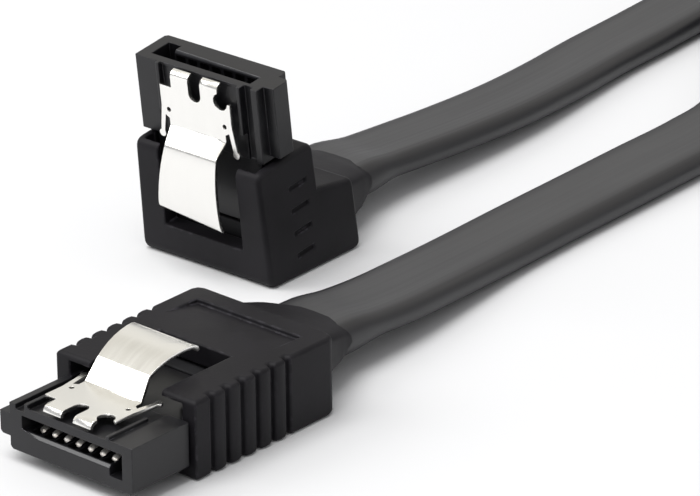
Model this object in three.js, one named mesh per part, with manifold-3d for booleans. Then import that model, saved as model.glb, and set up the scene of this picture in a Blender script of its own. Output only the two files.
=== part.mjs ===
// A flat serial data cable with a straight latching plug on one end and a right-angle latching plug on
// the other. The straight plug lies flat, the right-angle plug stands on its base with its nose up, and
// the cable's spare length is wound on edge into a round double spiral held by a strap.
// Millimetres, +Z up. The bench is Z = 0, and the straight plug points along -Y.
import * as THREE from "three";
import { mergeVertices } from "three/addons/utils/BufferGeometryUtils.js";
import Module from "manifold-3d";

const wasm = await Module();
wasm.setup();

// Insert: the black nose that carries the contacts. Its own frame has x across with the key side
// positive, y back from the mating face, and z out through the latch, 0 at the tops of its side walls.
const nose_key_side = 6.9;
const nose_far_side = 6.1;
const nose_height = 3.95;
const straight_nose_length = 6.3;
const angle_nose_length = 6.8;
const insert_length = 13;
const shank_half_width = 5.6;
const shank_step = 0.35;
const deck_half_width = 4.5;
const deck_rise = 0.3;
const pocket_half_width = 4.15;
const pocket_front_wall = 0.25;
const pocket_front_drop = 0.35;
const pocket_open_from = 4.4;
const pocket_open_half_width = 4.75;
const pocket_depth = 0.5;
const channel_width = 0.95;
const channel_depth = 0.45;
const flange_reach = 1.05;
const flange_drop = 0.95;
const flange_height = 1.95;
const flange_setback = 0.4;
const nose_chamfer = 0.25;

// L-shaped slot in the mating face
const slot_key_wall = 1.1;
const slot_far_wall = 1.3;
const slot_roof = 0.8;
const slot_height = 1.3;
const slot_depth = 5.2;
const key_width = 1.35;
const key_drop = 0.9;

// Contacts, in grooves in the slot's floor
const contact_count = 7;
const contact_pitch = 1.27;
const contact_width = 0.6;
const contact_thickness = 0.2;
const contact_rise = 0.45;
const contact_setback = 1.2;
const contact_tail = 1.5;
const groove_width = 0.96;
const groove_depth = 0.6;
const groove_start = 0.45;

// Inner mould, which grips the soldered wires behind the insert
const mould_length = 3;
const mould_half_width = 5.3;
const mould_seat = 0.3;
const mould_mouth_half_width = 4.6;
const mould_mouth_height = 1.1;

// Latch: one stamped and bent strip of spring steel
const latch_thickness = 0.3;
const latch_standoff = 0.2;
const prong_width = 1.85;
const prong_gap = 1.3;
const prong_setback = 0.2;
const prong_drop = 0.45;
const notch_end = 2.3;
const ear_half_width = 3.75;
const ear_front = 1.6;
const ear_back = 4.1;
const relief_radius = 0.75;
const waist_half_width = 3;
const lever_start = 5.2;
const bend_half_width = 2.75;
const lever_half_width = 3.45;
const bend_run = 1.25;
const bend_rise = 1.7;
const lever_run = 4.9;
const lever_rise = 1.15;
const curl_drop = 0.4;
const arm_width = 0.42;
const arm_end = 5.9;
const arm_spread = 0.45;
const foot_radius = 0.38;
const eyelet_radius = 0.22;

// Boots: the charcoal mouldings round the inserts
const boot_clearance = 0.25;
const boot_rear_wall = 0.45;
const straight_boot_length = 16.4;
const straight_boot_half_width = 7.4;
const straight_boot_below = 5.05;
const straight_boot_above = 1.7;
const window_half_width = 3.8;
const window_length = 7.9;
const relief_outer_wall = 0.7;
const relief_roof = 0.55;
const relief_depth = 2;
const groove_count = 6;
const first_groove = 1.95;
const boot_groove_pitch = 1.71;
const boot_groove_half_width = 0.27;
const boot_groove_depth = 0.45;
const rib_bulge = 0.1;
const boot_edge = 0.35;
const boot_corner = 0.9;
const thumb_half_width = 5.5;
const thumb_run = 3.6;
const thumb_depth = 0.4;
const thumb_setback = 2.1;

const collar_length = 5.7;
const collar_half_width = 5.9;
const collar_half_height = 2.85;
const collar_axis_height = 3.1;

const angle_half_width = 6.65;
const angle_base_half_width = 7.05;
const angle_body_height = 10.75;
const angle_front = 1.5;
const angle_depth = 7.1;
const angle_block_depth = 11.4;
const angle_block_height = 6.65;
const angle_block_slope = 0.9;
const angle_round = 0.9;
const angle_edge = 0.4;
const angle_window_half_width = 4.2;
const angle_window_length = 7.5;
const angle_groove_count = 4;
const angle_groove_first = 1.5;
const angle_groove_pitch = 2.05;
const angle_groove_height = 0.4;
const angle_groove_depth = 0.3;
const angle_groove_start = 3.6;
const angle_groove_length = 2.1;
const angle_collar_length = 5.6;
const angle_collar_half_width = 5.8;
const angle_collar_half_height = 2.5;
const angle_collar_height = 3.2;

// Where the right-angle plug stands on its flat base: the base's front edge, its turn to the right, and
// how far its nose leans forward
const angle_place = [-18.96, 36.03];
const angle_turn_deg = 2;
const angle_lean_deg = 6.5;

// Cable: a flat ribbon, wide face down where it leaves the plugs and on edge in its coil
const cable_width = 7.2;
const cable_thickness = 2.1;
const cable_gap = 0.3;
const cable_steps = 34;
const coil_steps = 78;
const coil_centre = [9, 129.5];
const coil_inner_radius = 29.5;
const coil_straight_entry = 31.88;
const coil_angle_entry = 34.28;
const coil_entry_deg = 177;
const strap_width = 9;
const strap_thickness = 0.5;
const strap_side_gap = 0.3;
const strap_face_gap = 0.05;

const plastic = new THREE.MeshStandardMaterial({ color: 0x1b1b1e, roughness: 0.45, metalness: 0 });
const boot_plastic = new THREE.MeshStandardMaterial({ color: 0x2a2a2e, roughness: 0.6, metalness: 0 });
const steel = new THREE.MeshStandardMaterial({ color: 0xd9d8d2, roughness: 0.25, metalness: 1 });
const gold = new THREE.MeshStandardMaterial({ color: 0xd8b56a, roughness: 0.3, metalness: 1 });
const jacket = new THREE.MeshStandardMaterial({ color: 0x3a3a3d, roughness: 0.4, metalness: 0 });
const webbing = new THREE.MeshStandardMaterial({ color: 0x141416, roughness: 0.9, metalness: 0 });

// Solids: a closed three.js shape becomes a solid that can be joined and cut
function solid(geometry) {
  const bare = geometry.index ? geometry.toNonIndexed() : geometry;
  for (const name of Object.keys(bare.attributes)) {
    if (name !== "position") bare.deleteAttribute(name);
  }
  const merged = mergeVertices(bare, 1e-4);
  return new wasm.Manifold(new wasm.Mesh({
    numProp: 3,
    vertProperties: new Float32Array(merged.attributes.position.array),
    triVerts: new Uint32Array(merged.index.array),
  }));
}

function piece(name, body, material) {
  const mesh = body.getMesh();
  const geometry = new THREE.BufferGeometry();
  geometry.setAttribute("position", new THREE.BufferAttribute(new Float32Array(mesh.vertProperties), 3));
  geometry.setIndex([...mesh.triVerts]);
  geometry.computeVertexNormals();
  const result = new THREE.Mesh(geometry, material);
  result.name = name;
  return result;
}

// A block between two corners
function block(low, high) {
  const size = high.map((value, axis) => value - low[axis]);
  const centre = high.map((value, axis) => (value + low[axis]) / 2);
  return solid(new THREE.BoxGeometry(...size).translate(...centre));
}

// An outline in x and y, raised from one height to another
function plate(outline, low, high, edge = 0) {
  const shape = outline instanceof THREE.Shape ? outline : new THREE.Shape(outline);
  const bevel = { bevelThickness: edge, bevelSize: edge, bevelOffset: -edge, bevelSegments: 2 };
  const geometry = new THREE.ExtrudeGeometry(shape, {
    depth: high - low - 2 * edge, bevelEnabled: edge > 0, curveSegments: 5, ...bevel,
  });
  return solid(geometry.translate(0, 0, low + edge));
}

// A side view in y and z, extruded across x from -half to +half
function side_plate(outline, half, edge = 0) {
  const turn = new THREE.Matrix4().set(0, 0, 1, 0, 1, 0, 0, 0, 0, 1, 0, 0, 0, 0, 0, 1);
  return plate(outline, -half, half, edge).transform(turn.elements);
}

function points(list) {
  return list.map(([a, b]) => new THREE.Vector2(a, b));
}

// The outline of a bent strip: its centre line, thickened to both sides
function strip(line, thickness) {
  const path = points(line);
  const sides = [[], []];
  path.forEach((point, index) => {
    const before = path[Math.max(index - 1, 0)];
    const after = path[Math.min(index + 1, path.length - 1)];
    const back = index ? point.clone().sub(before).normalize() : null;
    const ahead = index < path.length - 1 ? after.clone().sub(point).normalize() : null;
    const along = (back && ahead ? back.clone().add(ahead) : back ?? ahead).normalize();
    const stretch = 1 / Math.max(along.dot(back ?? ahead), 0.5);
    const normal = new THREE.Vector2(-along.y, along.x).multiplyScalar(thickness / 2 * stretch);
    sides[0].push(point.clone().add(normal));
    sides[1].unshift(point.clone().sub(normal));
  });
  return new THREE.Shape([...sides[1].reverse(), ...sides[0].reverse()].reverse());
}

// Insert, with its deck, latch pocket, flange, L-slot and contact grooves
const floor_height = -slot_roof - slot_height;
const pocket_floor = deck_rise - pocket_depth;
const contact_level = floor_height - groove_depth / 2;
const contact_places = Array.from({ length: contact_count }, (_, index) =>
  (index - (contact_count - 1) / 2) * contact_pitch);

function insert_solid(nose_length) {
  const nose_outline = new THREE.Shape(points([
    [-nose_far_side + nose_chamfer, -nose_height],
    [nose_key_side - nose_chamfer, -nose_height],
    [nose_key_side, -nose_height + nose_chamfer],
    [nose_key_side, 0],
    [deck_half_width, 0],
    [deck_half_width, deck_rise],
    [-deck_half_width, deck_rise],
    [-deck_half_width, -channel_depth],
    [-deck_half_width - channel_width, -channel_depth],
    [-deck_half_width - channel_width, 0],
    [-nose_far_side, 0],
    [-nose_far_side, -flange_drop],
    [-nose_far_side, -nose_height + nose_chamfer],
  ]));
  const stand = new THREE.Matrix4().set(1, 0, 0, 0, 0, 0, -1, nose_length, 0, 1, 0, 0, 0, 0, 0, 1);
  const nose = plate(nose_outline, 0, nose_length).transform(stand.elements);
  const flange_bottom = -flange_drop - flange_height;
  const flange_outline = points([
    [-nose_far_side + 0.2, -flange_drop],
    [-nose_far_side - flange_reach, -flange_drop],
    [-nose_far_side - flange_reach, flange_bottom + nose_chamfer],
    [-nose_far_side - flange_reach + nose_chamfer, flange_bottom],
    [-nose_far_side + 0.2, flange_bottom],
  ]).reverse();
  const flange = plate(flange_outline, flange_setback, nose_length).transform(stand.elements);
  const shank = block([-shank_half_width, nose_length - 0.1, -nose_height + shank_step],
    [shank_half_width, insert_length, -shank_step]);
  const slot_key = nose_key_side - slot_key_wall;
  const slot = block([-nose_far_side + slot_far_wall, -1, floor_height], [slot_key, slot_depth, -slot_roof]);
  const key = block([slot_key - key_width, -1, floor_height - key_drop], [slot_key, slot_depth, -slot_roof]);
  const pocket = block([-pocket_half_width, pocket_front_wall, pocket_floor],
    [pocket_half_width, insert_length, 2]);
  const lip = block([-pocket_half_width, -1, deck_rise - pocket_front_drop], [pocket_half_width, 1, 2]);
  const open = block([-pocket_open_half_width, pocket_open_from, pocket_floor],
    [pocket_open_half_width, insert_length, 2]);
  let body = nose.add(flange).add(shank).subtract(slot).subtract(key).subtract(pocket);
  body = body.subtract(lip).subtract(open);
  for (const place of contact_places) {
    body = body.subtract(block([place - groove_width / 2, groove_start, floor_height - groove_depth],
      [place + groove_width / 2, insert_length + 1, floor_height + 0.01]));
  }
  return body;
}

// Contact: a bowed leaf, dipped at its tip, with a tail for the wire
function contact_solid(place) {
  const tip = contact_setback;
  const leaf = strip([
    [tip, contact_level],
    [tip + 0.5, contact_level + contact_rise * 0.8],
    [tip + 1.2, contact_level + contact_rise],
    [tip + 2.2, contact_level + contact_rise * 0.75],
    [slot_depth - 0.8, contact_level],
    [insert_length + contact_tail, contact_level],
  ], contact_thickness);
  return side_plate(leaf, contact_width / 2).translate([place, 0, 0]);
}

function mould_solid() {
  const front = insert_length + mould_seat;
  const body = block([-mould_half_width, front, -nose_height + shank_step],
    [mould_half_width, front + mould_length, -shank_step]);
  const mouth = block([-mould_mouth_half_width, front - 1, contact_level - mould_mouth_height / 2],
    [mould_mouth_half_width, front + contact_tail, contact_level + mould_mouth_height / 2]);
  return body.subtract(mouth);
}

// Latch: plan outline and side profile, each extruded, and what both hold
const plate_level = deck_rise + latch_standoff + latch_thickness / 2;
const lever_end = lever_start + bend_run + lever_run;

function latch_solid(relief_side) {
  const half_gap = prong_gap / 2;
  const prong_outer = half_gap + prong_width;
  const profile = strip([
    [prong_setback, plate_level - prong_drop],
    [prong_setback + 0.1, plate_level - prong_drop * 0.3],
    [prong_setback + 0.5, plate_level],
    [lever_start, plate_level],
    [lever_start + bend_run, plate_level + bend_rise],
    [lever_start + bend_run + lever_run * 0.35, plate_level + bend_rise + lever_rise * 0.62],
    [lever_start + bend_run + lever_run * 0.7, plate_level + bend_rise + lever_rise * 0.97],
    [lever_end - 0.3, plate_level + bend_rise + lever_rise],
    [lever_end, plate_level + bend_rise + lever_rise - curl_drop * 0.35],
    [lever_end + 0.15, plate_level + bend_rise + lever_rise - curl_drop],
  ], latch_thickness);
  const outline = new THREE.Shape();
  outline.moveTo(-prong_outer, 0);
  outline.lineTo(-prong_outer, ear_front);
  outline.lineTo(-ear_half_width, ear_front);
  outline.lineTo(-ear_half_width, ear_back);
  outline.lineTo(-waist_half_width, ear_back + 0.5);
  outline.lineTo(-waist_half_width, lever_start);
  outline.lineTo(-bend_half_width, lever_start + bend_run);
  outline.lineTo(-lever_half_width, lever_end + 1);
  outline.lineTo(lever_half_width, lever_end + 1);
  outline.lineTo(bend_half_width, lever_start + bend_run);
  outline.lineTo(waist_half_width, lever_start);
  outline.lineTo(waist_half_width, ear_back + 0.5);
  outline.lineTo(ear_half_width, ear_back);
  outline.lineTo(ear_half_width, ear_front);
  outline.lineTo(prong_outer, ear_front);
  outline.lineTo(prong_outer, 0);
  outline.lineTo(half_gap, 0);
  outline.lineTo(half_gap, notch_end - half_gap);
  outline.absarc(0, notch_end - half_gap, half_gap, 0, Math.PI, false);
  outline.lineTo(-half_gap, 0);
  let body = side_plate(profile, ear_half_width + 1).intersect(plate(outline, -1, 5));
  const relief = new THREE.CylinderGeometry(relief_radius, relief_radius, 4, 20).rotateX(Math.PI / 2);
  relief.translate(relief_side * (prong_outer + relief_radius * 0.35), ear_front - 0.05, plate_level);
  body = body.subtract(solid(relief));
  const low = plate_level - latch_thickness / 2;
  for (const side of [-1, 1]) {
    const arm = new THREE.Shape(points([
      [side * (ear_half_width - arm_width), ear_back - 0.6],
      [side * ear_half_width, ear_back - 0.6],
      [side * (ear_half_width + arm_spread), arm_end],
      [side * (ear_half_width + arm_spread - arm_width), arm_end],
    ]));
    body = body.add(plate(arm, low, low + latch_thickness));
    const foot = new THREE.CylinderGeometry(foot_radius, foot_radius, latch_thickness * 1.6, 14);
    foot.rotateX(Math.PI / 2);
    foot.translate(side * (ear_half_width + arm_spread - arm_width * 0.4), arm_end, plate_level);
    body = body.add(solid(foot));
    const eyelet = new THREE.CylinderGeometry(eyelet_radius, eyelet_radius, 4, 12).rotateX(Math.PI / 2);
    body = body.subtract(solid(eyelet.translate(side * waist_half_width, ear_back - 0.35, plate_level)));
  }
  return body;
}

// Collar: a loft from the boot's back down to the flat cable
function collar_solid(length, half_width, half_height, end_half_width, end_half_height) {
  const sides = 24;
  const stations = [[-0.2, 0, 0.3], [0, 0, 0.3], [0.32, 0.3, 0.36], [0.62, 0.58, 0.42], [0.74, 0.72, 0.5],
    [0.85, 0.86, 0.6], [0.94, 0.95, 0.7], [1, 1, 0.8]];
  const position = [];
  const index = [];
  for (const [along, narrowing, roundness] of stations) {
    const wide = THREE.MathUtils.lerp(half_width, end_half_width, narrowing);
    const high = THREE.MathUtils.lerp(half_height, end_half_height, narrowing);
    for (let side = 0; side < sides; side++) {
      const angle = side / sides * Math.PI * 2;
      const power = (value) => Math.sign(value) * Math.abs(value) ** roundness;
      position.push(wide * power(Math.cos(angle)), along * length, high * power(Math.sin(angle)));
    }
  }
  const last = (stations.length - 1) * sides;
  for (let row = 0; row < last; row += sides) {
    for (let side = 0; side < sides; side++) {
      const next = (side + 1) % sides;
      index.push(row + side, row + sides + side, row + next);
      index.push(row + next, row + sides + side, row + sides + next);
    }
  }
  for (let side = 1; side < sides - 1; side++) {
    index.push(0, side, side + 1);
    index.push(last, last + side + 1, last + side);
  }
  const geometry = new THREE.BufferGeometry();
  geometry.setAttribute("position", new THREE.Float32BufferAttribute(position, 3));
  geometry.setIndex(index);
  return solid(geometry);
}

// What the insert, its inner mould and the latch need inside a boot
function boot_cavity(nose_length, window_half, window_reach, front) {
  const back = insert_length + mould_seat + mould_length + boot_rear_wall;
  const top = -shank_step + boot_clearance;
  const shaft = block([-shank_half_width - boot_clearance, nose_length - 1,
    -nose_height + shank_step - boot_clearance], [shank_half_width + boot_clearance, back, top]);
  const window = block([-window_half, nose_length - 1, top - 0.1],
    [window_half, nose_length + window_reach, front + 3]);
  const relief = block([-angle_half_width + relief_outer_wall, nose_length - 1, top - 0.1],
    [angle_half_width - relief_outer_wall, nose_length + relief_depth, front - relief_roof]);
  return shaft.add(window).add(relief);
}

// Straight boot: a plan outline with scalloped ribs down both sides
function straight_boot_solid() {
  const front = straight_nose_length + boot_clearance;
  const back = straight_nose_length + straight_boot_length;
  const half = straight_boot_half_width;
  const side = [[half, front]];
  for (let index = 0; index < groove_count; index++) {
    const centre = front + first_groove + index * boot_groove_pitch;
    const rib = centre + boot_groove_pitch / 2;
    side.push([half, centre - boot_groove_half_width]);
    side.push([half - boot_groove_depth, centre - boot_groove_half_width * 0.5]);
    side.push([half - boot_groove_depth, centre + boot_groove_half_width * 0.5]);
    side.push([half, centre + boot_groove_half_width]);
    if (index < groove_count - 1) side.push([half + rib_bulge, rib]);
  }
  side.push([half, back - boot_corner], [half - boot_corner * 0.3, back - boot_corner * 0.3]);
  side.push([half - boot_corner, back]);
  const outline = [...side, ...side.map(([x, y]) => [-x, y]).reverse()];
  const top = straight_boot_above;
  const shell = plate(points(outline), -straight_boot_below, top, boot_edge);
  const collar = collar_solid(collar_length, collar_half_width, collar_half_height,
    cable_width / 2 + 0.4, cable_thickness / 2 + 0.4);
  const thumb_end = back - thumb_setback;
  const thumb = side_plate(points([
    [thumb_end - thumb_run, top], [thumb_end, top - thumb_depth], [thumb_end, top + 1],
    [thumb_end - thumb_run, top + 1],
  ]), thumb_half_width);
  return shell.add(collar.translate([0, back, -straight_boot_below + collar_axis_height]))
    .subtract(boot_cavity(straight_nose_length + boot_clearance, window_half_width, window_length, top))
    .subtract(thumb);
}

// Right-angle boot: a tall body over the nose and a lower block behind it, with the cable collar
const angle_base = angle_nose_length + angle_body_height;
const lean = THREE.MathUtils.degToRad(angle_lean_deg);

function angle_boot_solid() {
  const back = angle_front - angle_depth;
  const rear = angle_front - angle_block_depth;
  const base_rear = angle_base + angle_block_depth * Math.tan(lean);
  const step = base_rear - angle_block_height;
  const top = angle_nose_length + boot_clearance;
  const round = angle_round;
  const outline = new THREE.Shape();
  outline.moveTo(top, angle_front - round);
  outline.lineTo(top, back + round);
  outline.quadraticCurveTo(top, back, top + round, back);
  outline.lineTo(step - angle_block_slope, back);
  outline.lineTo(step, rear + round);
  outline.quadraticCurveTo(step, rear, step + round, rear);
  outline.lineTo(base_rear - round, rear);
  outline.quadraticCurveTo(base_rear, rear, base_rear - round * Math.tan(lean), rear + round);
  outline.lineTo(angle_base + round * Math.tan(lean), angle_front - round);
  outline.quadraticCurveTo(angle_base, angle_front, angle_base - round, angle_front);
  outline.lineTo(top + round, angle_front);
  outline.quadraticCurveTo(top, angle_front, top, angle_front - round);
  const widen = (angle_base_half_width / angle_half_width - 1) / angle_body_height;
  let body = side_plate(outline, angle_half_width, angle_edge).warp((corner) => {
    corner[0] *= 1 + widen * (corner[1] - angle_nose_length);
  });
  const collar = collar_solid(angle_collar_length, angle_collar_half_width, angle_collar_half_height,
    cable_width / 2 + 0.4, cable_thickness / 2 + 0.4);
  const turn = new THREE.Matrix4().makeRotationX(lean - Math.PI / 2);
  turn.setPosition(0, base_rear - angle_collar_height / Math.cos(lean), rear);
  body = body.add(collar.transform(turn.elements));
  for (let index = 0; index < angle_groove_count; index++) {
    const level = angle_base - angle_groove_first - index * angle_groove_pitch;
    const half = angle_half_width * (1 + widen * (level - angle_nose_length));
    const near = angle_front - angle_groove_start;
    for (const side of [-1, 1]) {
      const inner = side * (half - angle_groove_depth);
      const outer = side * (half + 1);
      body = body.subtract(block(
        [Math.min(inner, outer), level - angle_groove_height / 2, near - angle_groove_length],
        [Math.max(inner, outer), level + angle_groove_height / 2, near]));
    }
  }
  return body.subtract(boot_cavity(top, angle_window_half_width, angle_window_length, angle_front));
}

function plug(end, nose_length, boot, relief_side) {
  const group = new THREE.Group();
  group.add(piece(`${end}_insert`, insert_solid(nose_length), plastic));
  contact_places.forEach((place, index) => {
    group.add(piece(`${end}_contact_${index + 1}`, contact_solid(place), gold));
  });
  group.add(piece(`${end}_inner_mould`, mould_solid(), plastic));
  group.add(piece(`${end}_latch`, latch_solid(relief_side), steel));
  group.add(piece(`${end}_boot`, boot, boot_plastic));
  return group;
}

// Cable: a ribbon section swept along hand-chosen points, rolled about its own line where it turns on edge
class RibbonRoute extends THREE.CatmullRomCurve3 {
  constructor(route, roll_start, roll_end) {
    super(route.map((point) => new THREE.Vector3(...point)), false, "centripetal");
    this.roll_start = roll_start;
    this.roll_end = roll_end;
  }

  computeFrenetFrames(steps) {
    const frames = { tangents: [], normals: [], binormals: [] };
    for (let step = 0; step <= steps; step++) {
      const tangent = this.getTangentAt(step / steps);
      const across = new THREE.Vector3(0, 0, 1).cross(tangent).normalize();
      const turned = THREE.MathUtils.smoothstep(step / steps, this.roll_start, this.roll_end);
      across.applyAxisAngle(tangent, turned * Math.PI / 2);
      frames.tangents.push(tangent);
      frames.normals.push(across);
      frames.binormals.push(new THREE.Vector3().crossVectors(tangent, across));
    }
    return frames;
  }
}

function ribbon(route, steps = cable_steps) {
  const side = cable_width / 2;
  const face = cable_thickness / 2;
  const round = face * 0.6;
  const section = new THREE.Shape(points([
    [-side, -face + round], [-side + round, -face], [side - round, -face], [side, -face + round],
    [side, face - round], [side - round, face], [-side + round, face], [-side, face - round],
  ]));
  return solid(new THREE.ExtrudeGeometry(section, {
    steps, bevelEnabled: false, extrudePath: route,
  }));
}

const collar_end = straight_nose_length + straight_boot_length + collar_length;
const coil_low = strap_thickness + strap_face_gap;
const edge_level = coil_low + cable_width / 2;

function coil_point(radius, degrees) {
  const turn = THREE.MathUtils.degToRad(degrees);
  return [coil_centre[0] + radius * Math.cos(turn), coil_centre[1] + radius * Math.sin(turn), edge_level];
}

const straight_route = [
  [0, collar_end + cable_gap, collar_axis_height],
  [-0.15, collar_end + 3, 2.98],
  [-0.6, 36.5, 2.5],
  [-1.6, 43.5, 1.85],
  [-2.5, 50.5, 1.3],
  [-3, 58, 1.14],
  [-3.2, 66, 1.12],
  [-3.3, 74, 1.12],
  [-3.4, 81.5, 1.14],
  [-4.2, 87.5, 1.5],
  [-6.4, 94, 2.7],
  [-9.8, 100.8, 4.1],
  [-14.1, 107.6, edge_level],
  [-18.3, 114.2, edge_level],
  [-21.7, 122.2, edge_level],
  coil_point(coil_straight_entry, coil_entry_deg + 3),
  coil_point(coil_straight_entry, coil_entry_deg),
];

const turn = THREE.MathUtils.degToRad(angle_turn_deg);
const angle_exit_run = angle_block_depth / Math.cos(lean) - angle_collar_height * Math.tan(lean)
  + angle_collar_length + cable_gap;
const angle_exit = [angle_place[0] - angle_exit_run * Math.sin(turn),
  angle_place[1] + angle_exit_run * Math.cos(turn)];
const angle_route = [
  [angle_exit[0], angle_exit[1], angle_collar_height],
  [angle_exit[0] - 3 * Math.sin(turn), angle_exit[1] + 3 * Math.cos(turn), angle_collar_height],
  [-19.55, 61, 2.95],
  [-19.5, 67, 2.6],
  [-19.9, 74.5, 2.0],
  [-20.9, 82, 1.4],
  [-22, 90, 1.16],
  [-22.6, 98, 1.12],
  [-23.4, 106, 1.14],
  [-24.8, 113, 1.3],
  [-26, 121, 3.6],
  coil_point(coil_angle_entry, coil_entry_deg + 3),
  coil_point(coil_angle_entry, coil_entry_deg),
];

// The coil's double spiral: in from the straight plug's side, through the middle on two half circles, and
// out to the right-angle plug's side
function coil_line() {
  const line = [];
  const reach = coil_entry_deg - 90;
  const start_gap = THREE.MathUtils.radToDeg(cable_gap / coil_straight_entry);
  for (let step = 0; step <= 6; step++) {
    const degrees = THREE.MathUtils.lerp(coil_entry_deg - start_gap, 90, step / 6);
    const share = (coil_entry_deg - degrees) / reach;
    line.push(coil_point(THREE.MathUtils.lerp(coil_straight_entry, coil_inner_radius, share), degrees));
    if (step === 0) line.push(coil_point(coil_straight_entry, degrees - 3));
  }
  for (const half of [1, -1]) {
    for (let step = 1; step <= 8; step++) {
      const along = Math.PI * (half > 0 ? 0.5 - step / 8 : 0.5 + step / 8);
      if (half < 0 && step === 8) continue;
      line.push([coil_centre[0] + coil_inner_radius / 2 * Math.cos(along),
        coil_centre[1] + coil_inner_radius / 2 * (half + Math.sin(along)), edge_level]);
    }
  }
  for (let step = 0; step <= 18; step++) {
    const degrees = THREE.MathUtils.lerp(-90, coil_entry_deg - start_gap, step / 18);
    const share = (degrees + 90) / (coil_entry_deg + 90);
    if (step === 18) line.push(coil_point(coil_angle_entry, degrees - 3));
    line.push(coil_point(THREE.MathUtils.lerp(coil_inner_radius, coil_angle_entry, share), degrees));
  }
  return line;
}

const part = new THREE.Group();

const straight_plug = plug("straight", straight_nose_length, straight_boot_solid(), 1);
straight_plug.position.z = straight_boot_below;
part.add(straight_plug);

const angle_plug = plug("angle", angle_nose_length, angle_boot_solid(), -1);
angle_plug.rotation.set(-Math.PI / 2, 0, Math.PI, "ZYX");
angle_plug.position.set(0, angle_front, angle_base);
const angle_stand = new THREE.Group();
angle_stand.add(angle_plug);
angle_stand.rotation.set(lean, 0, turn, "ZYX");
angle_stand.position.set(...angle_place, 0);
part.add(angle_stand);

// The part's origin is the middle of its footprint, with the cable left out
part.updateMatrixWorld(true);
const bounds = new THREE.Box3().setFromObject(part, true);
const centre = bounds.getCenter(new THREE.Vector3());

part.add(piece("cable_run_straight", ribbon(new RibbonRoute(straight_route, 0.56, 0.8)), jacket));
part.add(piece("cable_run_angle", ribbon(new RibbonRoute(angle_route, 0.76, 0.99)), jacket));
part.add(piece("cable_coil", ribbon(new RibbonRoute(coil_line(), -1, 0), coil_steps), jacket));

// The strap goes round the whole coil, under it, up its sides and over its top
const strap_front = -coil_inner_radius - cable_thickness / 2 - strap_side_gap;
const strap_share = 180 / (coil_entry_deg + 90);
const strap_back = THREE.MathUtils.lerp(coil_inner_radius, coil_angle_entry, strap_share)
  + cable_thickness / 2 + strap_side_gap;

function strap_outline(margin) {
  const low = coil_low - strap_face_gap - margin;
  const high = coil_low + cable_width + strap_face_gap + margin;
  const round = 0.2 + margin;
  return points([
    [strap_front - margin + round, low], [strap_back + margin - round, low],
    [strap_back + margin, low + round], [strap_back + margin, high - round],
    [strap_back + margin - round, high], [strap_front - margin + round, high],
    [strap_front - margin, high - round], [strap_front - margin, low + round],
  ]);
}
const strap = side_plate(strap_outline(strap_thickness), strap_width / 2)
  .subtract(side_plate(strap_outline(0), strap_width));
part.add(piece("coil_strap", strap.translate([...coil_centre, 0]), webbing));

part.position.set(-centre.x, -centre.y, -bounds.min.z);
part.updateMatrixWorld(true);

export default part;
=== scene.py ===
import math

import bmesh
import bpy
from mathutils import Matrix, Vector


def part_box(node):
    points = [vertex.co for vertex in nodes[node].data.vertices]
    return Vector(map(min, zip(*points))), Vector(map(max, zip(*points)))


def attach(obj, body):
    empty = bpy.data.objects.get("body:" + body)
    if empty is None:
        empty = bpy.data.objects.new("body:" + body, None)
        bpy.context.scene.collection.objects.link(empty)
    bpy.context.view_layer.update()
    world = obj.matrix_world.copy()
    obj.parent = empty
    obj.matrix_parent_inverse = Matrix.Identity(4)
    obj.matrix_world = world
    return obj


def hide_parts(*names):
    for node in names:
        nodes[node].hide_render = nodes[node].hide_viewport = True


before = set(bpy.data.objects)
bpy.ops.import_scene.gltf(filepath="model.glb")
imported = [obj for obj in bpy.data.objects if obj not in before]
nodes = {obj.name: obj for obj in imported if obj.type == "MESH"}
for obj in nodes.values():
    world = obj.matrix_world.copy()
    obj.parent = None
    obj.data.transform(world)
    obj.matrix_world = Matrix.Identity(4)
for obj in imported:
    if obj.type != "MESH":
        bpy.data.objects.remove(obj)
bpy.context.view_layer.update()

# The bench origin lies under the middle of the straight plug's mating face, on the bench top.
# The nose's side flange is the piece that reaches furthest to its left.
nose_left = 0.00715
insert_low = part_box("straight_insert")[0]
bench = Vector((insert_low[0] + nose_left, insert_low[1], 0))


def on_bench(x, y, z):
    """A place given in millimetres from the bench origin."""
    return bench + Vector((x, y, z)) / 1000


# The camera looks down on the two plugs from the front and their right, through a long lens.
view_azimuth = math.radians(41.967)
view_elevation = math.radians(24.164)
view_roll = math.radians(-0.685)
view_distance = 0.50843
view_middle = (-12.807, 46.822, 0)
back = Vector((math.sin(view_azimuth) * math.cos(view_elevation),
               -math.cos(view_azimuth) * math.cos(view_elevation), math.sin(view_elevation)))
right = Vector((math.cos(view_azimuth), math.sin(view_azimuth), 0))
upward = back.cross(right)
turned_right = right * math.cos(view_roll) + upward * math.sin(view_roll)
turned_up = upward * math.cos(view_roll) - right * math.sin(view_roll)
camera_data = bpy.data.cameras.new("camera")
camera_data.lens = 315.2
camera_data.sensor_width = 36
camera_data.clip_start = 0.01
camera_data.clip_end = 5
camera = bpy.data.objects.new("camera", camera_data)
bpy.context.collection.objects.link(camera)
camera_place = on_bench(*view_middle) + back * view_distance
camera_turn = Matrix((turned_right, turned_up, back)).transposed().to_4x4()
camera.matrix_world = Matrix.Translation(camera_place) @ camera_turn
bpy.context.scene.camera = camera


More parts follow.
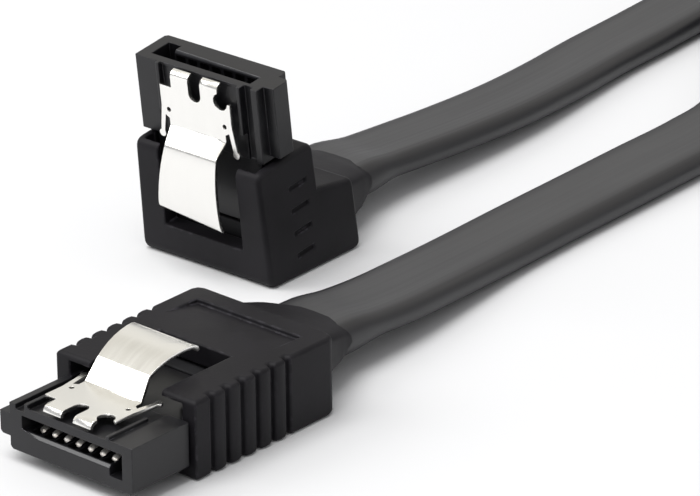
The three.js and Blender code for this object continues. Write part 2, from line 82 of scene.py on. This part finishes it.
# Flat cable: two screened pairs side by side in one extruded black jacket with half-round edges.
# It leaves the straight plug, lies on the bench, turns on edge into its coil, and comes back to the
# right-angle plug.
cable_width = 0.0072
cable_thickness = 0.0021
coil_middle = (9, 129.5)
coil_level = 4.15
straight_route = [
    (0, 27.6, 3.1), (-0.05, 31.4, 2.98), (-0.3, 36.5, 2.5), (-1.2, 43.5, 1.85), (-2.1, 50.5, 1.3),
    (-2.6, 58, 1.14), (-2.85, 66, 1.12), (-3.1, 74, 1.12), (-3.35, 81.5, 1.12), (-4.0, 87.5, 1.32),
    (-6.4, 94, 2.7), (-9.8, 100.8, 4.1), (-14.1, 107.6, coil_level), (-18.3, 114.2, coil_level),
    (-21.7, 122.2, coil_level),
]
angle_route = [
    (-19.516, 51.93, 3.2), (-19.62, 55, 3.08), (-19.6, 61, 2.7), (-19.6, 67, 2.33), (-19.95, 74.5, 1.87),
    (-20.9, 82, 1.4), (-22, 90, 1.16), (-22.6, 98, 1.12), (-23.4, 106, 1.14), (-24.8, 113, 1.3),
    (-26, 121, 3.6),
]
# The coil is a double spiral in the bench frame: both ends join it side by side, at the same angle.
inner_radius = 29.5
straight_join_radius = 31.88
angle_join_radius = 34.28
join_angle = 177


def coil_point(radius, angle):
    """A point of the coil, at a radius from its middle and an angle in degrees."""
    turn = math.radians(angle)
    return (coil_middle[0] + radius * math.cos(turn), coil_middle[1] + radius * math.sin(turn), coil_level)


def half_circle(middle_angle, start, end):
    """Half of the S through the coil's middle: a turn of half the inner radius, between two angles."""
    turn = math.radians(middle_angle)
    radius = inner_radius / 2
    middle = (coil_middle[0] + radius * math.cos(turn), coil_middle[1] + radius * math.sin(turn))
    points = []
    for step in range(1, 9):
        along = math.radians(start + (end - start) * step / 8)
        points.append((middle[0] + radius * math.cos(along),
                       middle[1] + radius * math.sin(along), coil_level))
    return points


def coil_route():
    """The spare length: in round the outside, across the middle in an S, and out round the outside."""
    outer = []
    for step in range(7):
        share = step / 6
        radius = straight_join_radius + (inner_radius - straight_join_radius) * share
        outer.append(coil_point(radius, join_angle - (join_angle - 90) * share))
    crossing = half_circle(90, 90, -90) + half_circle(-90, 90, 270)[:-1]
    returning = []
    for step in range(19):
        share = step / 18
        radius = inner_radius + (angle_join_radius - inner_radius) * share
        returning.append(coil_point(radius, -90 + (join_angle + 90) * share))
    return outer + crossing + returning


def smooth_line(points, spacing):
    """Points a fixed distance apart on the centripetal curve through those given."""
    points = [points[0] * 2 - points[1]] + points + [points[-1] * 2 - points[-2]]
    fine = []
    for index in range(1, len(points) - 2):
        before, start, end, after = points[index - 1:index + 3]
        first = (start - before).length ** 0.5
        second = (end - start).length ** 0.5
        third = (after - end).length ** 0.5
        leave = ((start - before) / first - (end - before) / (first + second)
                 + (end - start) / second) * second
        arrive = ((end - start) / second - (after - start) / (second + third)
                  + (after - end) / third) * second
        for step in range(24):
            t = step / 24
            fine.append(start * (2 * t ** 3 - 3 * t ** 2 + 1) + end * (3 * t ** 2 - 2 * t ** 3)
                        + leave * (t ** 3 - 2 * t ** 2 + t) + arrive * (t ** 3 - t ** 2))
    fine.append(points[-2])
    travelled = [0]
    for start, end in zip(fine, fine[1:]):
        travelled.append(travelled[-1] + (end - start).length)
    count = round(travelled[-1] / spacing)
    line = []
    index = 0
    for step in range(count + 1):
        target = travelled[-1] * step / count
        while index < len(fine) - 2 and travelled[index + 1] < target:
            index += 1
        share = (target - travelled[index]) / (travelled[index + 1] - travelled[index])
        line.append(fine[index].lerp(fine[index + 1], share))
    return line, travelled[-1]


def smooth_step(value, low, high):
    """The eased share, from 0 to 1, of the way that a value has come between two others."""
    share = min(max((value - low) / (high - low), 0), 1)
    return share * share * (3 - 2 * share)


def ribbon_section(width, thickness):
    """The jacket's outline, with half-round edges and faces that hardly dip between the two pairs."""
    half = width / 2
    round_edge = thickness / 2 * 0.92
    dip_depth = 0.035 * thickness
    outline = []
    for side in (1, -1):
        for step in range(9):
            angle = math.radians(-90 * side + 180 * step / 8)
            outline.append((side * (half - round_edge) + round_edge * math.cos(angle),
                            thickness / 2 * math.sin(angle)))
        for share in (0.62, 0.3, 0, -0.3, -0.62):
            dip = dip_depth * (1 - min(abs(share) / 0.3, 1))
            outline.append((side * share * half, side * (thickness / 2 - dip)))
    return outline


route = [on_bench(*point) for point in straight_route + coil_route() + angle_route[::-1]]
cable_line, cable_length = smooth_line(route, 0.0009)
straight_run = smooth_line([on_bench(*point) for point in straight_route], 0.01)[1] + 0.009
angle_run = smooth_line([on_bench(*point) for point in angle_route], 0.01)[1] + 0.01

# The jacket is thicker and wider where the collars were moulded round it, and it stays a little wider for
# a while past the straight plug. Its turns on edge are given as shares of each run.
section = ribbon_section(cable_width, cable_thickness)
flare_start = 0.0012
flare_end = 0.0055
straight_flare_width = 0.03
angle_flare_width = 0.11
flare_thickness = 0.36
broad_width = 0.09
broad_end = 0.045
broad_fade = 0.075
straight_turn = (0.67, 0.87)
angle_turn = (0.76, 0.99)
stations = []
for index, middle in enumerate(cable_line):
    ahead = cable_line[min(index + 1, len(cable_line) - 1)]
    behind = cable_line[max(index - 1, 0)]
    tangent = (ahead - behind).normalized()
    distance = cable_length * index / (len(cable_line) - 1)
    left_over = cable_length - distance
    roll = smooth_step(distance, straight_run * straight_turn[0], straight_run * straight_turn[1])
    roll += 1 - smooth_step(left_over, angle_run * angle_turn[0], angle_run * angle_turn[1])
    side = Matrix.Rotation(roll * math.pi / 2, 3, tangent) @ Vector((0, 0, 1)).cross(tangent).normalized()
    flare = 1 - smooth_step(min(distance, left_over), flare_start, flare_end)
    wider = 1 + angle_flare_width * flare
    if distance < left_over:
        broad = 1 - smooth_step(distance, broad_end, broad_fade)
        wider = 1 + straight_flare_width * flare + broad_width * broad
    stations.append((middle, side * wider, tangent.cross(side) * (1 + flare_thickness * flare), distance))


def finished(bm, name, smooth_below=35):
    """A new object, at the origin, from a bmesh that is then freed."""
    data = bpy.data.meshes.new(name)
    bm.to_mesh(data)
    bm.free()
    data.shade_smooth()
    data.set_sharp_from_angle(angle=math.radians(smooth_below))
    made = bpy.data.objects.new(name, data)
    bpy.context.collection.objects.link(made)
    return made


bm = bmesh.new()
across_layer = bm.verts.layers.float.new("across")
along_layer = bm.verts.layers.float.new("along")
columns = len(section)
rows = len(stations) - 1
grid = bmesh.ops.create_grid(bm, x_segments=columns, y_segments=rows, size=1)
for vertex in grid["verts"]:
    column = round((vertex.co.x + 1) / 2 * columns) % columns
    middle, side, face, distance = stations[round((vertex.co.y + 1) / 2 * rows)]
    width_at, height_at = section[column]
    vertex.co = middle + side * width_at + face * height_at
    vertex[across_layer] = width_at / cable_width
    vertex[along_layer] = distance
bmesh.ops.remove_doubles(bm, verts=bm.verts, dist=1e-6)
bmesh.ops.holes_fill(bm, edges=[edge for edge in bm.edges if edge.is_boundary])
bmesh.ops.recalc_face_normals(bm, faces=bm.faces)
cable = finished(bm, "cable", 60)


class Shading:
    """A material's nodes, added by kind and linked as they are made."""

    def __init__(self, name, tree=None):
        self.material = None
        if tree is None:
            self.material = bpy.data.materials.new(name)
            self.material.use_nodes = True
            tree = self.material.node_tree
        self.tree = tree

    def add(self, kind, settings=None, **inputs):
        made = self.tree.nodes.new(kind)
        for key, value in (settings or {}).items():
            setattr(made, key, value)
        for key, value in inputs.items():
            self.put(made, key.replace("_", " ") if key not in made.inputs else key, value)
        return made

    def put(self, made, socket, value):
        target = made.inputs[socket] if not isinstance(socket, bpy.types.NodeSocket) else socket
        if isinstance(value, bpy.types.NodeSocket):
            self.tree.links.new(value, target)
        else:
            target.default_value = value

    @property
    def surface(self):
        return self.tree.nodes["Principled BSDF"]

    def reckon(self, operation, *values):
        """The result of a sum on one or two values."""
        made = self.add("ShaderNodeMath", {"operation": operation})
        for index, value in enumerate(values):
            self.put(made, index, value)
        return made.outputs["Value"]

    def blend(self, mask, under, over):
        """One colour laid over another where the mask is white."""
        made = self.add("ShaderNodeMix", {"data_type": "RGBA"})
        for socket, value in ((0, mask), (6, under), (7, over)):
            self.put(made, socket, value)
        return made.outputs[2]

    def ramp(self, value, stops):
        """A colour ramp from a value, its stops given as (place, grey or colour)."""
        made = self.add("ShaderNodeValToRGB", Fac=value)
        elements = made.color_ramp.elements
        while len(elements) < len(stops):
            elements.new(0.5)
        for element, (at, colour) in zip(elements, stops):
            element.position = at
            element.color = (*colour, 1) if isinstance(colour, tuple) else (colour, colour, colour, 1)
        return made.outputs["Color"]


# The jacket is satin black, with painted shade darkening its half-round edges, and faint streaks from the
# die it came through.
jacket = Shading("cable_jacket")
across = jacket.add("ShaderNodeAttribute", {"attribute_name": "across"}).outputs["Fac"]
along = jacket.add("ShaderNodeAttribute", {"attribute_name": "along"}).outputs["Fac"]
flow = jacket.add("ShaderNodeCombineXYZ", X=across, Y=along)
streaks = jacket.add("ShaderNodeMapping", Vector=flow.outputs["Vector"], Scale=(16, 22, 1))
streak_noise = jacket.add("ShaderNodeTexNoise", Vector=streaks.outputs["Vector"], Scale=1.0, Detail=4.0)
patches = jacket.add("ShaderNodeMapping", Vector=flow.outputs["Vector"], Scale=(2.5, 60, 1))
patch_noise = jacket.add("ShaderNodeTexNoise", Vector=patches.outputs["Vector"], Scale=1.0, Detail=2.0)
tone = jacket.reckon("ADD", streak_noise.outputs["Fac"], patch_noise.outputs["Fac"])
halved = jacket.reckon("MULTIPLY", tone, 0.5)
from_middle = jacket.reckon("ABSOLUTE", across)
# Painted shade: the jacket's colour darkens towards its edges, a little less at the very rim.
edge_shade_mask = jacket.ramp(from_middle, [(0.26, 0), (0.4, 1), (0.47, 1), (0.5, 0.5)])
face_colour = jacket.ramp(halved, [(0.3, (0.031, 0.031, 0.033)), (0.7, (0.054, 0.054, 0.056))])
edge_shade_colour = (0.014, 0.0135, 0.016, 1)
jacket.put(jacket.surface, "Base Color", jacket.blend(edge_shade_mask, face_colour, edge_shade_colour))
jacket.put(jacket.surface, "Roughness", jacket.ramp(streak_noise.outputs["Fac"], [(0.3, 0.34), (0.7, 0.5)]))
jacket_bump = jacket.add("ShaderNodeBump", Strength=0.35, Distance=0.00003,
                         Height=streak_noise.outputs["Fac"])
jacket.put(jacket.surface, "Normal", jacket_bump.outputs["Normal"])
cable.data.materials.append(jacket.material)
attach(cable, "cable")
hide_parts("cable_run_straight", "cable_coil", "cable_run_angle")


# The strap round the coil is a woven fabric band, drawn flat over the coil and under it. A real one
# fastens to itself, and this one is a closed loop, because the photograph doesn't show it.
strap_half_width = 0.0045
strap_thickness = 0.0005
strap_reach = 0.0327
strap_top = 0.0083
strap_bend = 0.0014
strap_offset = 1.61
bm = bmesh.new()
corners = [(-strap_reach, strap_thickness / 2), (strap_reach, strap_thickness / 2),
           (strap_reach, strap_top), (-strap_reach, strap_top)]
verts = [bm.verts.new(on_bench(coil_middle[0], coil_middle[1] + strap_offset, 0)
                      + Vector((-strap_half_width, y, z))) for y, z in corners]
for index in range(4):
    bm.edges.new((verts[index], verts[(index + 1) % 4]))
bmesh.ops.bevel(bm, geom=verts, offset=strap_bend, segments=5, profile=0.5, affect="VERTICES", material=-1)
bmesh.ops.subdivide_edges(bm, edges=[edge for edge in bm.edges if edge.calc_length() > 0.02], cuts=12)
wide = bmesh.ops.extrude_edge_only(bm, edges=bm.edges[:])
bmesh.ops.translate(bm, vec=(strap_half_width * 2, 0, 0),
                    verts=[item for item in wide["geom"] if isinstance(item, bmesh.types.BMVert)])
bmesh.ops.recalc_face_normals(bm, faces=bm.faces)
bmesh.ops.solidify(bm, geom=bm.faces[:], thickness=strap_thickness * 0.9)
bmesh.ops.recalc_face_normals(bm, faces=bm.faces)
strap = finished(bm, "strap", 50)
weave = Shading("strap_weave")
woven = weave.add("ShaderNodeTexCoord").outputs["Object"]
warp = weave.add("ShaderNodeTexWave", {"bands_direction": "X"}, Vector=woven,
                 Scale=1100.0, Distortion=0.6)
weft = weave.add("ShaderNodeTexWave", {"bands_direction": "Y"}, Vector=woven,
                 Scale=1100.0, Distortion=0.6)
crossing = weave.reckon("MULTIPLY", warp.outputs["Fac"], weft.outputs["Fac"])
weave.put(weave.surface, "Base Color", weave.ramp(crossing, [(0, 0.012), (1, 0.04)]))
weave.surface.inputs["Roughness"].default_value = 0.9
weave_bump = weave.add("ShaderNodeBump", Strength=0.6, Distance=0.0001, Height=crossing)
weave.put(weave.surface, "Normal", weave_bump.outputs["Normal"])
strap.data.materials.append(weave.material)
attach(strap, "cable")
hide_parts("coil_strap")


# Plug mouldings: each insert, boot and inner mould comes from a steel tool, so its corners are a little
# round and its faces carry the tool's fine texture.
def skin_group():
    """The mouldings' skin: masks for tone, edges and specks, and a normal with the grain and round edges."""
    tree = bpy.data.node_groups.new("moulded_skin", "ShaderNodeTree")
    for name, value in (("Grain Scale", 3000), ("Grain Depth", 0.3), ("Edge Radius", 0.0001)):
        socket = tree.interface.new_socket(name, in_out="INPUT", socket_type="NodeSocketFloat")
        socket.default_value = value
    for name in ("Tone", "Edge", "Specks"):
        tree.interface.new_socket(name, in_out="OUTPUT", socket_type="NodeSocketFloat")
    tree.interface.new_socket("Normal", in_out="OUTPUT", socket_type="NodeSocketVector")
    skin = Shading("", tree)
    given = skin.add("NodeGroupInput")
    put_out = skin.add("NodeGroupOutput")
    place = skin.add("ShaderNodeTexCoord").outputs["Object"]
    grain = skin.add("ShaderNodeTexNoise", Vector=place, Scale=given.outputs["Grain Scale"], Detail=3.0)
    clouds = skin.add("ShaderNodeTexNoise", Vector=place, Scale=260.0, Detail=4.0)
    specks = skin.add("ShaderNodeTexNoise", Vector=place, Scale=1400.0, Detail=2.0)
    softened = skin.add("ShaderNodeBevel", {"samples": 4}, Radius=given.outputs["Edge Radius"])
    plain = skin.add("ShaderNodeNewGeometry").outputs["Normal"]
    facing = skin.add("ShaderNodeVectorMath", {"operation": "DOT_PRODUCT"})
    skin.put(facing, 0, softened.outputs["Normal"])
    skin.put(facing, 1, plain)
    edge = skin.add("ShaderNodeMapRange", Value=facing.outputs["Value"])
    edge.inputs["From Min"].default_value = 0.995
    edge.inputs["From Max"].default_value = 0.85
    bump = skin.add("ShaderNodeBump", Strength=given.outputs["Grain Depth"], Distance=0.00002,
                    Height=grain.outputs["Fac"], Normal=softened.outputs["Normal"])
    skin.put(put_out, "Tone", clouds.outputs["Fac"])
    skin.put(put_out, "Edge", edge.outputs["Result"])
    skin.put(put_out, "Specks", specks.outputs["Fac"])
    skin.put(put_out, "Normal", bump.outputs["Normal"])
    return tree


moulded_skin = skin_group()


def moulding(name, dark, pale, rough, shine, grain_scale, grain_depth, radius):
    """A moulded plastic: its colour drifts from dark to pale, and its edges are painted paler in specks, a
    painted highlight.
    """
    shading = Shading(name)
    skin = shading.add("ShaderNodeGroup", {"node_tree": moulded_skin})
    skin.inputs["Grain Scale"].default_value = grain_scale
    skin.inputs["Grain Depth"].default_value = grain_depth
    skin.inputs["Edge Radius"].default_value = radius
    drift = shading.ramp(skin.outputs["Tone"], [(0.35, dark), (0.65, pale)])
    # Painted highlight: the edges are paler, and brighter still in specks.
    edge_highlight = shading.ramp(skin.outputs["Specks"], [(0.5, tuple(value * 2 for value in pale)),
                                                   (0.64, tuple(value * 14 for value in pale))])
    shading.put(shading.surface, "Base Color", shading.blend(skin.outputs["Edge"], drift, edge_highlight))
    shading.put(shading.surface, "Roughness", shading.ramp(skin.outputs["Tone"], [
        (0.35, rough - 0.05), (0.65, rough + 0.05)]))
    shading.put(shading.surface, "Normal", skin.outputs["Normal"])
    shading.surface.inputs["Specular IOR Level"].default_value = shine
    return shading.material


# Each insert's own frame: x across with the key side positive, y back from the mating face, z out
# through the latch. The straight plug lies flat, and the right-angle plug stands with its nose up.
straight_plug_height = 5.05
angle_plug_place = (-18.96, 36.03, 0)
angle_plug_turn = 2
angle_plug_lean = 6.5
nose_back = 0.0015
nose_height = 0.01755
stand = (Matrix.Translation(on_bench(*angle_plug_place))
         @ Matrix.Rotation(math.radians(angle_plug_turn), 4, "Z")
         @ Matrix.Rotation(math.radians(angle_plug_lean), 4, "X"))
nose_up = Matrix(((-1, 0, 0, 0), (0, 0, -1, nose_back), (0, -1, 0, nose_height), (0, 0, 0, 1)))
seats = {
    "straight": Matrix.Translation(on_bench(0, 0, straight_plug_height)),
    "angle": stand @ nose_up,
}
slot_floor = -0.0021
lead_in_width = 0.00024
collar_start = 0.0229
collar_axis = -0.00195
collar_depth_kept = 0.5
insert_rounding = 0.00006
boot_rounding = 0.00014
inner_rounding = 0.0001


def merged_copy(name):
    """The CAD piece's mesh with its loose triangles joined and its flat faces whole again."""
    bm = bmesh.new()
    bm.from_mesh(nodes[name].data)
    bmesh.ops.remove_doubles(bm, verts=bm.verts, dist=2e-6)
    bmesh.ops.dissolve_limit(bm, angle_limit=math.radians(1), verts=bm.verts, edges=bm.edges)
    return bm


def round_edges(bm, radius, segments, turn=28):
    """A tool's radius on every edge that turns by more than the given angle."""
    sharp = [edge for edge in bm.edges if edge.is_manifold and edge.calc_face_angle(0) > math.radians(turn)]
    bmesh.ops.bevel(bm, geom=sharp, offset=radius, offset_type="OFFSET", segments=segments, profile=0.5,
                    affect="EDGES", clamp_overlap=False, material=-1)
    bmesh.ops.recalc_face_normals(bm, faces=bm.faces)


def even_faces(made):
    """Flat faces shade flat up to the rounding of their edges."""
    even = made.modifiers.new("flat_faces", "WEIGHTED_NORMAL")
    even.weight = 100
    even.keep_sharp = True


def take_over(made, name, body, material):
    """The made piece stands in for a CAD node, on the same body, in one slot."""
    made.data.materials.append(material)
    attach(made, body)
    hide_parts(name)


# The insert is hard and satin, the boot softer and duller. The slot's front edge, its lead-in, is painted
# pale as a painted highlight.
insert_plastic = moulding("insert_plastic", dark=(0.0085, 0.0083, 0.0097), pale=(0.014, 0.0138, 0.016),
                          rough=0.36, shine=0.36, grain_scale=4000, grain_depth=0.15, radius=0.00006)
boot_plastic = moulding("boot_plastic", dark=(0.0086, 0.0079, 0.0098), pale=(0.0146, 0.0137, 0.0162),
                        rough=0.5, shine=0.15, grain_scale=2600, grain_depth=0.35, radius=0.00017)
# Painted highlight: a pale plastic for the lead-in strip along the slot's front edge.
lead_in_highlight_plastic = moulding("lead_in_highlight_plastic", dark=(0.035, 0.035, 0.038), pale=(0.07, 0.07, 0.075),
                         rough=0.25, shine=0.5, grain_scale=4000, grain_depth=0.15, radius=0.00006)
mould_plastic = moulding("mould_plastic", dark=(0.01, 0.01, 0.011), pale=(0.016, 0.016, 0.018),
                         rough=0.65, shine=0.2, grain_scale=2000, grain_depth=0.4, radius=0.0001)
for end, seat in seats.items():
    bm = merged_copy(f"{end}_insert")
    inward = seat.inverted()
    lead_in = []
    for edge in bm.edges:
        ends = [inward @ vertex.co for vertex in edge.verts]
        if all(abs(point.y) < 2e-5 and abs(point.z - slot_floor) < 2e-5 for point in ends):
            lead_in.append(edge)
    chamfer = bmesh.ops.bevel(bm, geom=lead_in, offset=lead_in_width, offset_type="OFFSET", segments=1,
                              profile=0.5, affect="EDGES", clamp_overlap=False, material=-1)
    # The lead-in's faces take the pale plastic, a painted highlight.
    for face in chamfer["faces"]:
        face.material_index = 1
    round_edges(bm, insert_rounding, 2)
    insert = finished(bm, f"{end}_insert_moulding")
    even_faces(insert)
    take_over(insert, f"{end}_insert", "cable", insert_plastic)
    insert.data.materials.append(lead_in_highlight_plastic)
    bm = merged_copy(f"{end}_boot")
    # The straight collar is shallower under the cable than the solid's, as the photograph shows.
    for vertex in bm.verts:
        spot = inward @ vertex.co
        if end == "straight" and spot.y > collar_start and spot.z < collar_axis:
            vertex.co.z += (collar_axis - spot.z) * (1 - collar_depth_kept)
    round_edges(bm, boot_rounding, 3)
    boot = finished(bm, f"{end}_boot_moulding")
    even_faces(boot)
    take_over(boot, f"{end}_boot", "cable", boot_plastic)
    bm = merged_copy(f"{end}_inner_mould")
    round_edges(bm, inner_rounding, 2)
    grip = finished(bm, f"{end}_grip")
    take_over(grip, f"{end}_inner_mould", "cable", mould_plastic)


# Contacts: leaves stamped from copper alloy, bowed up to wipe the socket, crowned across their width and
# plated. Their plating is painted near white, as a painted highlight that shows them as bright dots.
contact_half_width = 0.0003
contact_pitch = 0.00127
contact_thickness = 0.00018
contact_crown = 0.00007
contact_step = 0.0002
contact_line = [(1.2, -2.42), (1.3, -2.2), (1.6, -2.05), (2.1, -1.97), (2.7, -2.0), (3.6, -2.25),
                (4.4, -2.4), (9, -2.4), (14.45, -2.4)]


def at_seat(x, y, z):
    """A place in an insert's own frame, given in millimetres."""
    return Vector((x, y, z)) / 1000


plating_and_highlight = Shading("contact_plating")
contact_place = plating_and_highlight.add("ShaderNodeTexCoord").outputs["Object"]
contact_noise = plating_and_highlight.add("ShaderNodeTexNoise", Vector=contact_place, Scale=1500.0, Detail=3.0)
# Painted highlight: the plating's colour is lifted to near white.
plating_and_highlight.put(plating_and_highlight.surface, "Base Color", plating_and_highlight.ramp(contact_noise.outputs["Fac"], [
    (0.3, (0.93, 0.88, 0.81)), (0.7, (0.98, 0.96, 0.93))]))
plating_and_highlight.put(plating_and_highlight.surface, "Roughness", plating_and_highlight.ramp(contact_noise.outputs["Fac"], [
    (0.3, 0.38), (0.7, 0.5)]))
plating_and_highlight.surface.inputs["Metallic"].default_value = 0.75
wiping_line = smooth_line([at_seat(0, y, z) for y, z in contact_line], contact_step)[0]
for end, seat in seats.items():
    for number in range(1, 8):
        bm = bmesh.new()
        rows = len(wiping_line) - 1
        grid = bmesh.ops.create_grid(bm, x_segments=6, y_segments=rows, size=1)
        for vertex in grid["verts"]:
            share = vertex.co.x
            row = round((vertex.co.y + 1) / 2 * rows)
            from_tip = min(row * contact_step / contact_half_width, 1)
            narrowed = min(1, math.sqrt(max(0.06, 1 - (1 - from_tip) ** 2)))
            middle = wiping_line[row] + Vector(((number - 4) * contact_pitch, 0,
                                                contact_crown * (1 - share * share)))
            vertex.co = seat @ (middle + Vector((share * contact_half_width * narrowed, 0, 0)))
        bmesh.ops.recalc_face_normals(bm, faces=bm.faces)
        bmesh.ops.solidify(bm, geom=bm.faces[:], thickness=contact_thickness)
        bmesh.ops.recalc_face_normals(bm, faces=bm.faces)
        leaf = finished(bm, f"{end}_leaf_{number}", 50)
        take_over(leaf, f"{end}_contact_{number}", "cable", plating_and_highlight.material)


# Latches: spring steel strip, stamped to a flat blank with two hooked prongs, two ears and their arms,
# then bent up behind the ears into a lever that the thumb presses.
def turn_points(middle, radius, start, end, count):
    """Points along an arc, between two angles in degrees."""
    angles = [math.radians(start + (end - start) * step / count) for step in range(count + 1)]
    return [(middle[0] + radius * math.cos(angle), middle[1] + radius * math.sin(angle)) for angle in angles]


def blank_side(bitten):
    """One half of the blank's outline, from the notch between the prongs round to the lever's end."""
    side = turn_points((0, 1.65), 0.65, 78, 0, 6) + [(0.65, 0.2), (2.5, 0.2)]
    if bitten:
        side += turn_points((2.76, 1.55), 0.75, 250, 4, 9)
        side += [(3.75, 1.6)]
    else:
        side += [(2.5, 1.6), (3.75, 1.6)]
    side += [(3.75, 3.5), (4.08, 5.85)] + turn_points((3.96, 6.15), 0.34, -50, 210, 8)
    side += [(3.68, 5.8), (3.42, 4.3), (3, 4.55), (3, 5.2), (2.75, 6.45), (3.2 if bitten else 3.45, 11.5)]
    return side


strip_thickness = 0.0003
stamped_edge = 0.00005
eyelet_place = (3, 3.75)
eyelet_radius = 0.00022
ear_inside = 3.1
ear_span = (1, 6.6)

# The bent strip's side profile: its height at each distance back from the mating face. The plate lies
# level, and the lever bends up at its root and then curves back and down to its tip. The right-angle
# plug's lever rises less and reaches further, most of all on the side away from the key.
plate_height = 0.65
lever_root = 6.45
lever_profile = [(0.2, 0.2), (0.26, 0.44), (0.4, 0.6), (0.62, plate_height), (5.0, plate_height),
                 (5.2, 0.68), (5.36, 0.84), (6.32, 2.2), (lever_root, 2.37), (6.62, 2.5), (7.2, 2.82),
                 (7.9, 3.11), (8.7, 3.34), (9.5, 3.47), (10.3, 3.53), (10.9, 3.51), (11.2, 3.44),
                 (11.38, 3.3), (11.5, 3.06)]
reach_slant = 0.12
lever_forms = {"straight": {"bitten_side": 1, "lift": 1, "reach": 0},
               "angle": {"bitten_side": -1, "lift": 0.7, "reach": 0.17}}


def bent(point, lift, reach):
    """A point of the flat blank, raised to the profile and drawn out to the reach. Ears stay level."""
    x, y = point.x * 1000, point.y * 1000
    if abs(x) > ear_inside and ear_span[0] < y < ear_span[1]:
        return at_seat(x, y, plate_height)
    for (start, low), (end, high) in zip(lever_profile, lever_profile[1:]):
        if y <= end + 1e-6:
            break
    height = low + (high - low) * (min(max(y, start), end) - start) / (end - start)
    drawn = max(y - lever_root, 0) * reach * (1 - reach_slant * x)
    if height > plate_height:
        height = plate_height + (height - plate_height) * lift
    return at_seat(x, y + drawn, height)


latch_steel = Shading("latch_steel")
latch_place = latch_steel.add("ShaderNodeTexCoord").outputs["Object"]
rolling = latch_steel.add("ShaderNodeMapping", Vector=latch_place, Scale=(2500, 200, 200))
rolling_noise = latch_steel.add("ShaderNodeTexNoise", Vector=rolling.outputs["Vector"],
                                Scale=1.0, Detail=3.0)
latch_steel.put(latch_steel.surface, "Base Color", latch_steel.ramp(rolling_noise.outputs["Fac"], [
    (0.3, (0.91, 0.9, 0.87)), (0.7, (0.94, 0.93, 0.9))]))
latch_steel.put(latch_steel.surface, "Roughness", latch_steel.ramp(rolling_noise.outputs["Fac"], [
    (0.3, 0.2), (0.7, 0.27)]))
latch_steel.surface.inputs["Metallic"].default_value = 1
for end, seat in seats.items():
    form = lever_forms[end]
    bm = bmesh.new()
    outline = blank_side(form["bitten_side"] > 0)
    outline += [(-x, y) for x, y in reversed(blank_side(form["bitten_side"] < 0))]
    verts = [bm.verts.new(at_seat(x, y, 0)) for x, y in outline]
    for index in range(len(verts)):
        bm.edges.new((verts[index], verts[(index + 1) % len(verts)]))
    for side in (-1, 1):
        eyelet = bmesh.ops.create_circle(bm, segments=14, radius=eyelet_radius)
        bmesh.ops.translate(bm, verts=eyelet["verts"],
                            vec=at_seat(side * eyelet_place[0], eyelet_place[1], 0))
    bmesh.ops.triangle_fill(bm, use_beauty=True, edges=bm.edges[:])
    for y, _ in lever_profile[1:-1]:
        bmesh.ops.bisect_plane(bm, geom=bm.verts[:] + bm.edges[:] + bm.faces[:], plane_co=at_seat(0, y, 0),
                               plane_no=(0, 1, 0), dist=1e-7)
    bmesh.ops.remove_doubles(bm, verts=bm.verts, dist=1e-6)
    for vertex in bm.verts:
        vertex.co = seat @ bent(vertex.co, form["lift"], form["reach"])
    bmesh.ops.dissolve_limit(bm, angle_limit=math.radians(0.4), verts=bm.verts, edges=bm.edges)
    bmesh.ops.recalc_face_normals(bm, faces=bm.faces)
    latch = finished(bm, f"{end}_lever", 30)
    strip = latch.modifiers.new("strip", "SOLIDIFY")
    strip.thickness = strip_thickness
    strip.offset = 0
    stamped = latch.modifiers.new("stamped_edges", "BEVEL")
    stamped.width = stamped_edge
    stamped.segments = 2
    stamped.limit_method = "ANGLE"
    stamped.angle_limit = math.radians(50)
    even_faces(latch)
    take_over(latch, f"{end}_latch", f"{end}_latch_body", latch_steel.material)


# The bench is a plain pale sheet. What the camera and the shiny faces see round it is a studio vault,
# dim at the horizon and bright overhead, and two large soft lamps light it from above and from the left.
bm = bmesh.new()
bmesh.ops.create_grid(bm, x_segments=1, y_segments=1, size=3)
floor = finished(bm, "floor")
sheet = Shading("pale_sheet")
sheet.surface.inputs["Base Color"].default_value = (0.84, 0.84, 0.84, 1)
sheet.surface.inputs["Roughness"].default_value = 0.9
floor.data.materials.append(sheet.material)

world = bpy.data.worlds.new("studio")
world.use_nodes = True
bpy.context.scene.world = world
given_off = (0.44, 0.44, 0.45, 1)
sky = Shading("", world.node_tree)
path = sky.add("ShaderNodeLightPath")
seen = sky.reckon("MAXIMUM", path.outputs["Is Camera Ray"], path.outputs["Is Glossy Ray"])
seen = sky.reckon("MAXIMUM", seen, path.outputs["Is Transmission Ray"])
heading = sky.add("ShaderNodeNewGeometry").outputs["Incoming"]
downward = sky.add("ShaderNodeSeparateXYZ", Vector=heading).outputs["Z"]
overhead = sky.reckon("MULTIPLY", downward, -1.0)
vault = sky.ramp(overhead, [
    (0, (0.4, 0.4, 0.41)), (0.28, (0.42, 0.42, 0.43)), (0.38, (0.8, 0.79, 0.75)), (0.54, (0.92, 0.9, 0.85)),
    (0.68, (0.68, 0.66, 0.6)), (0.84, (0.72, 0.7, 0.65)), (0.93, (1, 1, 1))])
sky.put(sky.tree.nodes["Background"], "Color", sky.blend(seen, given_off, vault))


plugs_middle = on_bench(-8, 40, 5)


def soft_lamp(name, toward, distance, size, power):
    """A square lamp that faces the plugs from a direction given as (azimuth, elevation)."""
    azimuth, elevation = (math.radians(angle) for angle in toward)
    direction = Vector((math.sin(azimuth) * math.cos(elevation), -math.cos(azimuth) * math.cos(elevation),
                        math.sin(elevation)))
    data = bpy.data.lights.new(name, "AREA")
    data.size = size
    data.energy = power
    lamp = bpy.data.objects.new(name, data)
    lamp.location = plugs_middle + direction * distance
    lamp.rotation_euler = direction.to_track_quat("Z", "Y").to_euler()
    bpy.context.collection.objects.link(lamp)


soft_lamp("top_lamp", toward=(-20, 72), distance=0.9, size=0.6, power=6)
soft_lamp("left_lamp", toward=(-50, 35), distance=0.9, size=0.5, power=2.4)
bpy.context.scene.view_settings.view_transform = "Standard"
